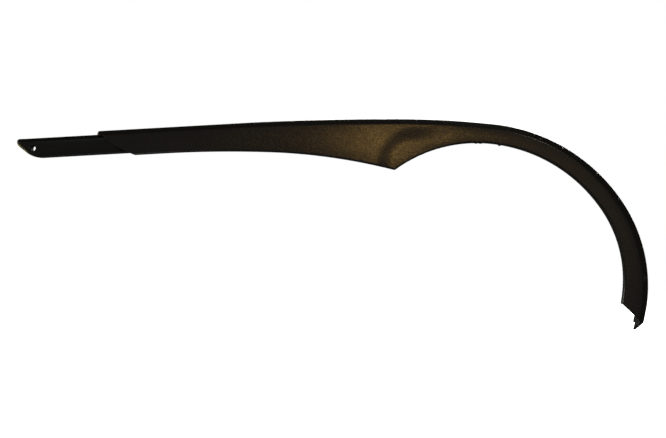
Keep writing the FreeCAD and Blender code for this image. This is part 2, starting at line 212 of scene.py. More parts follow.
def end_of(path):
    points, headings, _ = sample(path, 1000.0)
    return tuple(points[-1]), headings[-1]


def closing_arc(point, heading, target):
    dx, dz = target[0] - point[0], target[1] - point[1]
    half = (math.degrees(math.atan2(dz, dx)) - heading + 180) % 360 - 180
    return math.hypot(dx, dz) / 2 / abs(math.sin(math.radians(half))), 2 * half


def inward(headings):
    """The unit vectors to the right of each heading, which point into the shell."""
    a = np.radians(headings)
    return np.column_stack([np.sin(a), -np.cos(a)])


CROWN_BACK = [(CROWN_FRONT[0], -CROWN_FRONT[1]), (CROWN_REAR[0], -CROWN_REAR[1])]
RUN_END, _ = end_of((NECK, NECK_HEADING + 180, CROWN_BACK))
RUN_HEADING = NECK_HEADING - CROWN_FRONT[1] - CROWN_REAR[1]
RUN_START = shifted(RUN_END, RUN_HEADING, -RUN_LENGTH)
OUTER = (RUN_START, RUN_HEADING, [(RUN_LENGTH, 0), CROWN_REAR, CROWN_FRONT, SHOULDER, NOSE])
NECK_FOOT = shifted(NECK, NECK_HEADING - 90, NECK_WIDTH)
CUSP, _ = end_of((NECK_FOOT, NECK_HEADING + 180, [(THROAT[0], -THROAT[1])]))
INNER_ARCS = [
    THROAT,
    (SHOULDER[0] - SHOULDER_TAPER, SHOULDER[1]),
    (NOSE[0] - NOSE_TAPER, NOSE[1]),
]
INNER = (CUSP, NECK_HEADING - THROAT[1], INNER_ARCS)
LOWER_START = shifted(RUN_START, RUN_HEADING - 90, RUN_HEIGHT)
LOWER_STEPS = [(RUN_LENGTH - FLARE_START, 0), FLARE]
LOWER_STEPS.append(closing_arc(*end_of((LOWER_START, RUN_HEADING, LOWER_STEPS)), CUSP))
LOWER = (LOWER_START, RUN_HEADING, LOWER_STEPS)

RIM_POINTS, RIM_HEADINGS, RIM_LENGTHS = sample(OUTER, 0.5)
RIM_INWARD = inward(RIM_HEADINGS)
NOSE_START = end_of((NECK, NECK_HEADING, [SHOULDER]))[0]
NOSE_CENTRE = shifted(NOSE_START, NECK_HEADING + SHOULDER[1] - 90, NOSE[0])
NOSE_LEVEL = float(np.interp(90.0, -RIM_HEADINGS, RIM_LENGTHS))
NECK_LENGTH = RIM_LENGTHS[np.abs(RIM_HEADINGS - NECK_HEADING).argmin()]
CRANK_Z = CAD_BOX[1].z / MM - RIM_POINTS[:, 1].max()


def on_run(ahead, drop):
    """Points from the front end of the run: ahead along it, drop below its top line."""
    a = math.radians(RUN_HEADING)
    x = RUN_END[0] + np.asarray(ahead) * math.cos(a) + np.asarray(drop) * math.sin(a)
    z = RUN_END[1] + np.asarray(ahead) * math.sin(a) - np.asarray(drop) * math.cos(a)
    return x, z


def smooth(x):
    """0 below 0, 1 above 1, and 3x^2 - 2x^3 between."""
    x = np.clip(x, 0, 1)
    return x * x * (3 - 2 * x)


# Meshes

def make_mesh(name, points, faces):
    """An object of millimetre points about the crank axis, merged, with its faces turned outwards."""
    points = np.asarray(points, float) + np.array([0.0, 0.0, CRANK_Z])
    mesh = bpy.data.meshes.new(name)
    mesh.from_pydata((points * MM).tolist(), [], faces if isinstance(faces, list) else faces.tolist())
    work = bmesh.new()
    work.from_mesh(mesh)
    bmesh.ops.remove_doubles(work, verts=work.verts, dist=2e-6)
    bmesh.ops.dissolve_degenerate(work, edges=work.edges, dist=1e-6)
    bmesh.ops.recalc_face_normals(work, faces=work.faces)
    work.to_mesh(mesh)
    work.free()
    mesh.polygons.foreach_set("use_smooth", np.ones(len(mesh.polygons), bool))
    mesh.update()
    piece = bpy.data.objects.new(name, mesh)
    bpy.context.scene.collection.objects.link(piece)
    return piece


def grid_faces(rows, columns, wrap=False):
    """Quads over a grid of points stored row by row, joined round its columns if wrap is set."""
    i = np.arange(rows - 1)[:, None]
    j = np.arange(columns if wrap else columns - 1)[None, :]
    k = (j + 1) % columns
    a, b = i * columns + j, i * columns + k
    return np.stack([a, b, b + columns, a + columns], axis=-1).reshape(-1, 4)


def end_strips(rows, columns):
    """Quads that close a wall's first and last rows, which run out on one sheet and back on the other."""
    j = np.arange(columns - 1)
    twin = 2 * columns - 1 - j
    strip = np.stack([j, j + 1, twin - 1, twin], axis=-1)
    return np.concatenate([strip, strip + (rows - 1) * 2 * columns])


def paired_sheets(outer, inner):
    """A closed wall between two grids of the same size: both sheets and the strips round their four edges."""
    rows, columns = outer.shape[:2]
    loop = np.concatenate([outer, inner[:, ::-1]], axis=1)
    faces = np.concatenate([grid_faces(rows, 2 * columns, wrap=True), end_strips(rows, columns)])
    return loop.reshape(-1, 3), faces


def corners(*pairs):
    """A polyline at every station, from pairs whose parts are one number or one for each station."""
    parts = np.broadcast_arrays(*[part for pair in pairs for part in pair])
    return np.stack(parts, axis=-1).reshape(len(parts[0]), len(pairs), 2)


def rounded_line(line, reach, fills, arc=4):
    """Points along a polyline whose corners are eased by parabolas.

    line is (stations, corners, 2), reach is how far each corner's curve starts from it, and
    fills is how many points lie along each straight, closer together near its ends.
    """
    count = line.shape[1]
    columns = []
    for k in range(count - 1):
        a, b = line[:, k], line[:, k + 1]
        span = b - a
        length = np.linalg.norm(span, axis=1, keepdims=True)
        unit = span / np.maximum(length, 1e-9)
        first = a + unit * np.minimum(reach[k], length * 0.45)
        last = b - unit * np.minimum(reach[k + 1], length * 0.45)
        for u in 0.5 - 0.5 * np.cos(np.linspace(0, np.pi, fills[k] + 2)):
            columns.append(first + (last - first) * u)
        if k < count - 2:
            after = line[:, k + 2] - b
            away = np.linalg.norm(after, axis=1, keepdims=True)
            leave = b + after / np.maximum(away, 1e-9) * np.minimum(reach[k + 1], away * 0.45)
            for u in np.linspace(0, 1, arc + 2)[1:-1]:
                columns.append((1 - u) ** 2 * last + 2 * u * (1 - u) * b + u * u * leave)
    return np.stack(columns, axis=1)


# The shell

def front_surface(x, z):
    """Depth of the shell's face.

    It comes forward slowly along the run. The last of its rise is a smooth step across a curve that
    comes up from the cusp and bends forward under the rim, where the step fades out.
    """
    dx = np.minimum(x - FOLD_CENTRE[0], 0.0)
    dz = np.maximum(z - FOLD_CENTRE[1], 0.0)
    within = smooth(0.5 - (np.hypot(dx, dz) - FOLD_RADIUS) / FOLD_WIDTH)
    ahead = smooth((x - FOLD_FADE[0]) / FOLD_FADE[1])
    raised = 1 - (1 - within) * (1 - ahead)
    slow = smooth((x - RUN_RISE[0]) / RUN_RISE[1])
    return RUN_FACE - FOLD_STEP * raised + (RING_FACE - RUN_FACE + FOLD_STEP) * slow


def shell_height(lengths):
    """The distance from the rim to the lower contour, square to the rim."""
    low = np.concatenate([sample(LOWER, 0.4)[0], sample(INNER, 0.4)[0][1:]])
    apart = np.linalg.norm(low[:, None] - RIM_POINTS[None], axis=2)
    nearest = apart.argmin(axis=1)
    return np.interp(lengths, RIM_LENGTHS[nearest], apart[np.arange(len(low)), nearest])


def mould_nibs(lengths):
    """Three tiny gate marks on the inner edge near the top of the arc.

    Each is a bell curve: its height times e to the minus square of the distance over its width.
    """
    return sum(high * np.exp(-((lengths - NECK_LENGTH - at) / NIB_WIDTH) ** 2) for at, high in NIBS)


def eased_corner(inset, height, reach, setback):
    """A corner's setback: none before its reach, then in proportion to the power 2.2 of the share passed."""
    return setback * np.clip((inset - height + reach) / reach, 0, 1) ** 2.2


def rear_end(inset, height):
    """Where the shell's rear end lies along the rim: square on the rim, and a bent slant on the face."""
    past = inset - REAR_BEND[0]
    slant = REAR_SET + REAR_SLOPES[0] * inset + REAR_SLOPES[1] * (np.hypot(past, REAR_BEND[1]) + past) / 2
    return slant * smooth((inset - WALL) / 2.2) + eased_corner(inset, height, *REAR_CORNER)


def front_end(inset, depth, height):
    """Where the shell's front end lies along the rim.

    On the face it is a slanted line that meets each parallel to the rim; on the rim it is a tongue
    whose end slopes down towards the bicycle and steps up near its inboard edge.
    """
    d = np.array(shifted((0, 0), FRONT_SLANT, 1.0))
    a = np.array(FRONT_POINT) - np.array(NOSE_CENTRE)
    along = float(a @ d)
    reach = np.sqrt(np.maximum((NOSE[0] - inset) ** 2 - (a @ a - along ** 2), 0)) - along
    z = a[1] + reach * d[1]
    face = NOSE_LEVEL + NOSE[0] * np.arcsin(np.clip(-z / (NOSE[0] - inset), -1, 1))
    face = face - eased_corner(inset, height, *FRONT_CORNER)
    slope = (TONGUE_FOOT - TONGUE_TOP) / (RIM_EDGE - RUN_FACE)
    tip = TONGUE_TOP + slope * (depth - RUN_FACE)
    tip = np.where(depth > RIM_EDGE - NOTCH_DEPTH, NOTCH_TOP, tip)
    tongue = NOSE_LEVEL + NOSE[0] * np.arcsin(-tip / NOSE[0])
    return tongue + (face - tongue) * smooth((inset - WALL) / 2.6)


def bevel_width(lengths):
    """The bevel along the rim, which widens steadily round the arc."""
    past = lengths / RIM_LENGTHS[-1] - BEVEL_GROWTH[0]
    return RIM_BEVEL + (NOSE_BEVEL - RIM_BEVEL) * smooth(past / BEVEL_GROWTH[1])


def shell_sections(height, wide):
    """Outer and inner sections of the shell as (inset from the rim, depth behind the face)."""
    rim = RIM_EDGE - RUN_FACE
    step = rim - NOTCH_DEPTH
    bevel = RIM_BEVEL - WALL * (2 - math.sqrt(2))
    outer = corners(
        (0.35, rim), (0, rim), (0, step), (0, RIM_BEVEL), (wide, 0), (height, 0), (height, LIP_DEPTH),
    )
    low = height - LIP_WALL
    inner = corners(
        (WALL - 0.35, rim), (WALL, rim), (WALL, step), (WALL, WALL + bevel),
        (wide - RIM_BEVEL + WALL + bevel, WALL), (low, WALL), (low, LIP_DEPTH),
    )
    fills = (0, 3, 8, 2, 26, 3)
    outer = rounded_line(outer, (0, 0.35, 0.12, 0.7, 0.7, 1.2, 0.3), fills)
    inner = rounded_line(inner, (0, 0.3, 0.12, 0.4, 0.4, 0.6, 0.3), fills)
    return outer, inner


def place_on_rim(lengths, inset, depth):
    """Places at distances along the rim, moved in by the inset.

    The shell's face gives the depth at the front, and its part fades out towards the rim's edge.
    """
    x = np.interp(lengths, RIM_LENGTHS, RIM_POINTS[:, 0])
    z = np.interp(lengths, RIM_LENGTHS, RIM_POINTS[:, 1])
    nx = np.interp(lengths, RIM_LENGTHS, RIM_INWARD[:, 0])
    nz = np.interp(lengths, RIM_LENGTHS, RIM_INWARD[:, 1])
    x, z = x + nx * inset, z + nz * inset
    follow = 1 - smooth((depth - LIP_DEPTH) / (RIM_EDGE - RUN_FACE - LIP_DEPTH))
    y = depth + RUN_FACE + (front_surface(x, z) - RUN_FACE) * follow
    return np.stack([x, y, z], axis=-1)


def shell_stations(last):
    """Distances along the rim: about a millimetre apart, closer at both ends and at the gate marks."""
    middle = np.linspace(0, last, 400)
    fine = np.linspace(0, 1, 7)[1:-1]
    around = np.linspace(-2, 2, 13)
    marks = [NECK_LENGTH + at + around for at, _ in NIBS]
    ends = np.linspace(0, 3.6, 10)
    return np.unique(np.concatenate([middle, middle[1] * fine, last - middle[1] * fine, ends] + marks))


def guard_shell():
    """The moulded shell: the section carried along the rim, with its ends sheared to their slants."""
    last = NOSE_LEVEL + NOSE[0] * math.asin(-TONGUE_TOP / NOSE[0])
    stations = shell_stations(last)
    height = shell_height(stations)
    sections = shell_sections(height, bevel_width(stations))
    middle = (sections[0] + sections[1]) / 2
    rear = 1 - smooth(stations / REAR_SHEAR)[:, None]
    front = smooth((stations - last + FRONT_SHEAR) / FRONT_SHEAR)[:, None]
    entry = np.clip(1 - stations / LEAD_IN[0], 0, 1)[:, None] ** 2
    inset, depth = middle[..., 0], middle[..., 1]
    sheared = stations[:, None]
    sheared = sheared + rear * rear_end(inset, height[:, None])
    sheared = sheared + front * (front_end(inset, depth + RUN_FACE, height[:, None]) - last)
    actual = shell_height(sheared) + mould_nibs(sheared)
    wide = bevel_width(stations)[:, None]
    stretch = (actual - wide) / (height[:, None] - wide)
    ends = np.minimum(stations, last - stations)
    fullness = np.sqrt(1 - np.clip(1 - ends / END_ROUND, 0, 1) ** 2 * END_THINNING)[:, None, None]
    sheets = []
    for section in sections:
        section = middle + (section - middle) * fullness
        t, y = section[..., 0], section[..., 1]
        t = np.where(t > wide, wide + (t - wide) * stretch, t)
        share = np.clip((t - wide) / np.maximum(actual - wide, 1), 0, 1)
        crown = FACE_CROWN * (1 - (2 * share - 1) ** 2) * (y < LIP_DEPTH / 2)
        lead = LEAD_IN[1] * entry * (1 - smooth((t - LEAD_WIDTH[0]) / LEAD_WIDTH[1]))
        sheets.append(place_on_rim(sheared, t, y - crown + lead * (y < LIP_DEPTH)))
    points, faces = paired_sheets(*sheets)
    return make_mesh("moulded_shell", points, faces)


def ring_solid(centre, profile, turns=48):
    """A solid turned about an axis square to the face: a closed profile of (radius, depth) at every angle."""
    profile = np.array(profile, float)
    angle = np.linspace(0, 2 * np.pi, turns, endpoint=False)[:, None]
    x = centre[0] + profile[None, :, 0] * np.cos(angle)
    z = centre[1] + profile[None, :, 0] * np.sin(angle)
    y = np.broadcast_to(profile[None, :, 1], x.shape)
    grid = np.stack([x, y, z], axis=-1)
    grid = np.concatenate([grid, grid[:1]])
    return grid.reshape(-1, 3), grid_faces(turns + 1, len(profile), wrap=True)


def joined(parts):
    """Points and faces of several meshes as one."""
    faces, start = [], 0
    for points, own_faces in parts:
        faces += (own_faces + start).tolist()
        start += len(points)
    return np.concatenate([points for points, _ in parts]), faces


def boss_profile(radius, hole, root, mouth, floor):
    """Half section of a boss: outer wall with a soft root, rounded mouth, blind hole."""
    return [
        (0.01, root), (radius + 0.5, root), (radius + 0.5, root + 1.05), (radius + 0.15, root + 1.4),
        (radius, root + 2.0), (radius - 0.05, mouth - 0.4), (radius - 0.15, mouth - 0.12),
        (radius - 0.4, mouth), (hole + 0.25, mouth), (hole + 0.07, mouth - 0.07), (hole, mouth - 0.25),
        (hole, floor + 0.1), (hole - 0.1, floor), (0.01, floor),
    ]


def bracket_points():
    """The three bracket bosses: two level ones under the top of the arc and one at its front."""
    centre = shifted(NECK, NECK_HEADING - 90, SHOULDER[0])
    half = BRACKET_SPACING / 2
    level = centre[1] + math.sqrt((SHOULDER[0] - BRACKET_INSET) ** 2 - (half - centre[0]) ** 2)
    tip = shifted(NOSE_CENTRE, TIP_BOSS_ANGLE, NOSE[0] - BRACKET_INSET)
    return {"rear": (-half, level), "upper": (half, level), "front": tip}


def lock_points():
    return {"front": on_run(LOCK_FRONT, TAIL_MIDDLE), "rear": on_run(LOCK_FRONT - LOCK_SPACING, TAIL_MIDDLE)}


def shell_bosses():
    """The bracket bosses and the lock bosses on the back of the face."""
    parts = []
    for point in bracket_points().values():
        root = float(front_surface(*point)) + WALL / 2
        parts.append(ring_solid(point, boss_profile(BOSS_RADIUS, INSERT_RADIUS, root, 0.0, -INSERT_LENGTH)))
    for point in lock_points().values():
        floor = LOCK_SEAT - LOCK_INSERT_LENGTH
        profile = boss_profile(LOCK_BOSS, LOCK_INSERT, RUN_FACE + WALL / 2, LOCK_SEAT, floor)
        profile = [(min(r, LOCK_BOSS), y) for r, y in profile]
        parts.append(ring_solid(point, profile))
    return make_mesh("shell_bosses", *joined(parts))


def gusset(turn):
    """A web between the face and the rim: a triangle with a hollow long side, swept by its thickness."""
    place = np.interp(NECK_HEADING - turn, RIM_HEADINGS[::-1], RIM_LENGTHS[::-1])
    u = np.linspace(0, 1, 12)
    ease = u * (1 - u)
    inset = WALL / 2 + GUSSET_REACH * (1 - u) - GUSSET_HOLLOW[0] * ease
    depth = WALL / 2 + GUSSET_DEPTH * u - GUSSET_HOLLOW[1] * ease
    edge = np.column_stack([inset, depth])
    along_rim = np.column_stack([np.full(len(u), WALL / 2), WALL / 2 + GUSSET_DEPTH * u])
    loop = np.concatenate([edge, along_rim[::-1]])
    centre = loop.mean(axis=0)
    sheets = []
    for share, shrink in ((-0.5, 0.97), (-0.38, 1.0), (0.0, 1.0), (0.38, 1.0), (0.5, 0.97)):
        ring = centre + (loop - centre) * shrink
        level = np.full(len(ring), place + share * GUSSET_WALL)
        sheets.append(place_on_rim(level, ring[:, 0], ring[:, 1]))
    grid = np.stack(sheets)
    faces = np.concatenate([grid_faces(len(grid), len(loop), wrap=True), end_strips(len(grid), len(edge))])
    return grid.reshape(-1, 3), faces


def shell_gussets():
    return make_mesh("shell_gussets", *joined([gusset(turn) for turn in GUSSET_TURNS]))


# The extension

def tail_path():
    """The extension's outline on the run's own axes: bottom edge, slanted rear end, top edge."""
    slanted = [TAIL_FOOT, (TAIL_SLANT, 0), TAIL_HEEL]
    (setback, rise), _ = end_of(((0.0, 0.0), 180.0, slanted))
    upright = TAIL_BOTTOM - TAIL_TOP - rise - TAIL_CROWN[0]
    bottom = TAIL_INNER_END + TAIL_REACH + setback
    top = TAIL_INNER_END + TAIL_REACH - TAIL_CROWN[0]
    steps = [(bottom, 0)] + slanted + [(upright, 0), TAIL_CROWN, (top, 0)]
    return (TAIL_INNER_END, -TAIL_BOTTOM), 180.0, steps


def tail_places(points, headings, inset):
    """The outline moved in, kept inside the upright rear end and the top edge."""
    n = inward(headings)
    a = points[:, None, 0] + n[:, None, 0] * inset
    w = points[:, None, 1] + n[:, None, 1] * inset
    a = np.maximum(a, -TAIL_REACH + inset)
    w = np.minimum(w, -TAIL_TOP - inset)
    return a, w


def to_side(a, w, y):
    """From the run's own axes to the side plane."""
    x, z = on_run(a, -w)
    return np.stack([x, np.broadcast_to(y, np.shape(x)), z], axis=-1)


def flat_plate(loop, holes, depth):
    """A flat face inside a loop and outside its holes, as triangles between their points."""
    rings = [loop] + holes
    points = np.concatenate(rings)
    edges, start = [], 0
    for ring in rings:
        count = len(ring)
        edges += [(start + k, start + (k + 1) % count) for k in range(count)]
        start += count
    found = delaunay_2d_cdt([Vector(p) for p in points.tolist()], edges, [], 1, 1e-5)
    flat = np.array([tuple(v) for v in found[0]])
    faces = np.array([f for f in found[2] if len(f) == 3])
    centres = flat[faces].mean(axis=1)
    keep = inside(centres, loop)
    for hole in holes:
        keep &= ~inside(centres, hole)
    return to_side(flat[:, 0], flat[:, 1], depth), faces[keep]


def inside(points, loop):
    """Which points lie inside a loop: those whose ray crosses it an odd number of times."""
    a, b = loop, np.roll(loop, -1, axis=0)
    x, y = points[:, None, 0], points[:, None, 1]
    spans = (a[None, :, 1] > y) != (b[None, :, 1] > y)
    slope = (b[:, 0] - a[:, 0]) / np.where(b[:, 1] == a[:, 1], 1e-12, b[:, 1] - a[:, 1])
    cross = a[None, :, 0] + (y - a[None, :, 1]) * slope[None]
    return ((spans & (x < cross)).sum(axis=1) % 2).astype(bool)


def slot_loop(grow):
    """The stadium round both lock bosses and their travel, grown all round."""
    front = LOCK_FRONT + LOCK_BOSS + SLIDE_CLEARANCE + TRAVEL_OUT
    rear = LOCK_FRONT - LOCK_SPACING - LOCK_BOSS - SLIDE_CLEARANCE - TRAVEL_IN
    radius = LOCK_BOSS + SLIDE_CLEARANCE
    length = front - rear - 2 * radius
    side = [(length, 0), (radius, 180.0)]
    points, headings, _ = sample(((rear + radius, -TAIL_MIDDLE - radius), 0.0, side + side), 0.7)
    return points[:-1] + inward(headings[:-1]) * grow


def circle_loop(centre, radius, count=40):
    angle = np.linspace(0, 2 * np.pi, count, endpoint=False)
    return np.column_stack([centre[0] + radius * np.cos(angle), centre[1] + radius * np.sin(angle)])


def hole_wall(loop_at, face, back):
    """The wall of a hole through the face with softly rounded mouths, from one plate to the other."""
    steps = [
        (HOLE_MARGIN, face), (0.3, face), (0.09, face + 0.09), (0.0, face + 0.3),
        (0.0, back - 0.3), (0.09, back - 0.09), (0.3, back), (HOLE_MARGIN, back),
    ]
    rings = [to_side(loop_at(g)[:, 0], loop_at(g)[:, 1], y) for g, y in steps]
    grid = np.stack(rings)
    return grid.reshape(-1, 3), grid_faces(len(rings), grid.shape[1], wrap=True)


def unique_loop(points):
    """The loop without points that repeat their neighbour."""
    gap = np.linalg.norm(points - np.roll(points, 1, axis=0), axis=1)
    return points[gap > 1e-4]


def tail_channel():
    """The extension: a wall section carried round its outline, closed by two flat plates with holes."""
    points, headings, lengths = sample(tail_path(), 0.9)
    turned = 180.0 - headings
    end = smooth(turned / 12.0)
    top = smooth((turned - 168.0) / 12.0)
    past = np.clip(lengths - lengths[turned < 179.9].max(), 0, None)
    top = top * smooth(past / 6.0)
    bevel = FOOT_BEVEL + (END_BEVEL - FOOT_BEVEL) * end + (TAIL_BEVEL - END_BEVEL) * top
    depth = TAIL_LIP + (TAIL_RIM_EDGE - TAIL_FACE - TAIL_LIP) * smooth((turned - 100.0) / 60.0)
    inner_bevel = np.maximum(bevel - TAIL_WALL * (2 - math.sqrt(2)), 0.12)
    outer = corners((0.3, depth), (0, depth), (0, bevel), (bevel, 0), (bevel + 0.4, 0))
    inner = corners(
        (TAIL_WALL - 0.3, depth), (TAIL_WALL, depth), (TAIL_WALL, TAIL_WALL + inner_bevel),
        (TAIL_WALL + inner_bevel, TAIL_WALL), (TAIL_WALL + inner_bevel + 0.3, TAIL_WALL),
    )
    fills = (0, 5, 2, 0)
    outer = rounded_line(outer, (0, 0.25, 0.3, 0.3, 0), fills)
    inner = rounded_line(inner, (0, 0.25, 0.2, 0.2, 0), fills)
    sheets, loops = [], []
    for section in (outer, inner):
        a, w = tail_places(points, headings, section[..., 0])
        sheets.append(to_side(a, w, section[..., 1] + TAIL_FACE))
        loops.append(np.column_stack([a[:, -1], w[:, -1]]))
    rows, columns = sheets[0].shape[:2]
    strip_points = np.concatenate([sheets[0], sheets[1][:, ::-1]], axis=1)
    tip = (rows - 1) * 2 * columns
    mouth = [[columns - 1, columns, tip + columns, tip + columns - 1]]
    faces = np.concatenate([grid_faces(rows, 2 * columns), end_strips(rows, columns), mouth])
    face, back = TAIL_FACE, TAIL_FACE + TAIL_WALL
    holes = [slot_loop(HOLE_MARGIN), circle_loop(STAY_POINT, STAY_HOLE + HOLE_MARGIN)]
    parts = [
        (strip_points.reshape(-1, 3), faces),
        flat_plate(unique_loop(loops[0]), holes, face),
        flat_plate(unique_loop(loops[1]), holes, back),
        hole_wall(slot_loop, face, back),
        hole_wall(lambda g: circle_loop(STAY_POINT, STAY_HOLE + g), face, back),
    ]
    return make_mesh("sliding_channel", *joined(parts))


def slot_rails():
    """The raised rail round the slot: a closed section carried round the stadium."""
    root, top = TAIL_FACE + TAIL_WALL / 2, LOCK_SEAT - SLIDE_CLEARANCE
    steps = [
        (0.06, root), (0.06, top - 0.25), (0.13, top - 0.07), (0.3, top), (SLOT_RAIL - 0.3, top),
        (SLOT_RAIL - 0.07, top - 0.07), (SLOT_RAIL, top - 0.3), (SLOT_RAIL, root),
    ]
    grid = np.stack([to_side(slot_loop(g)[:, 0], slot_loop(g)[:, 1], y) for g, y in steps], axis=1)
    grid = np.concatenate([grid, grid[:1]])
    faces = grid_faces(grid.shape[0], grid.shape[1], wrap=True)
    return make_mesh("slot_rails", grid.reshape(-1, 3), faces)


def stay_boss():
    """The boss behind the stay hole, bored for its sleeve."""
    x, z = on_run(STAY_POINT[0], -STAY_POINT[1])
    root, mouth = TAIL_FACE + TAIL_WALL / 2, TAIL_FACE + STAY_BOSS_LENGTH
    profile = [
        (STAY_SLEEVE + 0.01, root), (STAY_BOSS + 0.3, root), (STAY_BOSS + 0.3, root + 1.0),
        (STAY_BOSS, root + 1.5), (STAY_BOSS, mouth - 0.3), (STAY_BOSS - 0.1, mouth - 0.1),
        (STAY_BOSS - 0.3, mouth), (STAY_SLEEVE + 0.2, mouth), (STAY_SLEEVE + 0.01, mouth - 0.2),
    ]
    return make_mesh("stay_boss", *ring_solid((x, z), profile))


# Fittings

def threaded_insert(name, point):
    """A brass insert with a threaded bore.

    The bore's radius goes up and down in a triangle wave of the depth, which advances by one pitch
    for each turn, and opens into a countersink at its mouth.
    """
    turns, rows = 40, 92
    angle = np.linspace(0, 2 * np.pi, turns + 1)[:, None]
    depth = np.linspace(0, 1, rows)[None] * INSERT_LENGTH
    phase = (depth / THREAD_PITCH + angle / (2 * np.pi)) % 1.0
    wave = np.clip(2 * np.abs(phase - 0.5) * 1.3 - 0.15, 0, 1)
    fade = smooth(depth / 0.9) * smooth((INSERT_LENGTH - depth) / 0.9)
    bore = THREAD_MINOR + (THREAD_MAJOR - THREAD_MINOR) * wave * fade
    bore = bore + 0.35 * np.clip(1 - depth / 0.35, 0, 1)
    outside = np.array([
        (INSERT_RADIUS, INSERT_LENGTH), (INSERT_RADIUS, 0.25),
        (INSERT_RADIUS - 0.08, 0.08), (INSERT_RADIUS - 0.25, 0.0),
    ])
    outside = np.tile(outside, (turns + 1, 1, 1))
    radius = np.concatenate([outside[..., 0], bore], axis=1)
    y = -np.concatenate([outside[..., 1], np.broadcast_to(depth, bore.shape)], axis=1)
    x, z = point[0] + radius * np.cos(angle), point[1] + radius * np.sin(angle)
    grid = np.stack([x, y, z], axis=-1)
    return make_mesh(name, grid.reshape(-1, 3), grid_faces(turns + 1, grid.shape[1], wrap=True))


# Materials

class Graph:
    """A material's node tree, with short calls to add and join nodes."""

    def __init__(self, name):
        self.material = bpy.data.materials.new(name)
        self.material.use_nodes = True
        self.tree = self.material.node_tree
        self.shader = self.tree.nodes["Principled BSDF"]

    def add(self, kind, inputs=(), **settings):
        node = self.tree.nodes.new(kind)
        for key, value in settings.items():
            setattr(node, key, value)
        for key, value in dict(inputs).items():
            if isinstance(value, bpy.types.NodeSocket):
                self.tree.links.new(value, node.inputs[key])
            else:
                node.inputs[key].default_value = value
        return node

    def noise(self, place, scale, detail=4.0, rough=0.55):
        settings = {"Vector": place, "Scale": scale, "Detail": detail, "Roughness": rough}
        return self.add("ShaderNodeTexNoise", settings).outputs["Fac"]

    def between(self, value, low, high, start=0.0, end=1.0):
        settings = {"Value": value, "From Min": start, "From Max": end, "To Min": low, "To Max": high}
        return self.add("ShaderNodeMapRange", settings).outputs["Result"]

    def blend(self, share, first, second):
        return self.add("ShaderNodeMix", {0: share, 6: first, 7: second}, data_type="RGBA").outputs[2]

    def bump(self, height, strength, distance, normal=None):
        settings = {"Height": height, "Strength": strength, "Distance": distance}
        if normal is not None:
            settings["Normal"] = normal
        return self.add("ShaderNodeBump", settings).outputs["Normal"]

    def math(self, kind, a, b):
        return self.add("ShaderNodeMath", {0: a, 1: b}, operation=kind).outputs[0]

    def wire(self, **links):
        for key, value in links.items():
            self.tree.links.new(value, self.shader.inputs[key.replace("_", " ")])


def moulded_plastic(name, dark, warm, sheen, roughness):
    """Satin moulded plastic: a fine spark-eroded grain, pits, cloudy pigment and long faint rub marks."""
    g = Graph(name)
    place = g.add("ShaderNodeTexCoord").outputs["Object"]
    cloud = g.noise(place, 38.0, 3.0)
    patch = g.noise(place, 170.0, 3.0, 0.6)
    fine = g.noise(place, 1250.0, 1.0, 0.5)
    coarse = g.noise(place, 1050.0, 3.0, 0.6)
    drawn = {"Vector": place, "Rotation": (0, 0.06, 0), "Scale": (14, 60, 420)}
    streak = g.noise(g.add("ShaderNodeMapping", drawn).outputs["Vector"], 1.0, 5.0, 0.65)
    rub = g.between(streak, 0.0, 1.0, 0.56, 0.78)
    pits = g.add("ShaderNodeTexVoronoi", {"Vector": place, "Scale": 1900.0}).outputs["Distance"]
    tone = g.blend(g.between(cloud, 0.0, 1.0, 0.3, 0.7), dark, warm)
    tone = g.blend(g.between(fine, 0.0, 0.5, 0.42, 0.72), tone, tuple(3.6 * c for c in warm[:3]) + (1.0,))
    tone = g.blend(g.math("MULTIPLY", rub, 0.08), tone, (0.09, 0.08, 0.065, 1.0))
    rough = g.between(fine, roughness + 0.075, roughness - 0.065, 0.36, 0.64)
    rough = g.math("ADD", rough, g.math("MULTIPLY", rub, 0.03))
    rough = g.math("ADD", rough, g.between(patch, -0.01, 0.02, 0.35, 0.65))
    grain = g.bump(coarse, 0.85, 0.00006)
    pitted = g.bump(pits, 0.12, 0.00006, grain)
    g.wire(Base_Color=tone, Roughness=rough, Normal=pitted)
    g.shader.inputs["Specular Tint"].default_value = sheen
    g.shader.inputs["IOR"].default_value = 1.5
    return g.material


def turned_metal(name, colour, roughness, rings, bare=1.0):
    """Turned metal with fine tool marks and cloudy tarnish; bare is the share not under a dull black skin."""
    g = Graph(name)
    place = g.add("ShaderNodeTexCoord").outputs["Object"]
    cloud = g.noise(place, 300.0, 4.0)
    fine = g.noise(place, rings, 2.0)
    dark = tuple(0.55 * c for c in colour[:3]) + (1.0,)
    g.wire(
        Base_Color=g.blend(g.between(cloud, 0.0, 0.7, 0.45, 0.8), colour, dark),
        Roughness=g.between(cloud, roughness - 0.06, roughness + 0.12, 0.3, 0.7),
        Normal=g.bump(fine, 0.25, 0.00004),
    )
    g.shader.inputs["Metallic"].default_value = bare
    g.shader.inputs["Specular IOR Level"].default_value = 0.5 * bare
    return g.material


def floor_material():
    """A plain pale floor that stays even in the light."""
    g = Graph("pale_floor")
    place = g.add("ShaderNodeTexCoord").outputs["Object"]
    shade = g.noise(place, 3.0, 2.0)
    tone = g.blend(g.between(shade, 0.0, 1.0), (0.93, 0.93, 0.93, 1.0), (0.95, 0.95, 0.95, 1.0))
    g.wire(Base_Color=tone, Emission_Color=tone)
    g.shader.inputs["Roughness"].default_value = 0.9
    g.shader.inputs["Emission Strength"].default_value = 1.0
    return g.material


def dress(piece, material, body=None, replaces=None):
    piece.data.materials.clear()
    piece.data.materials.append(material)
    if body:
        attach(piece, body)
    if replaces:
        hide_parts(replaces)


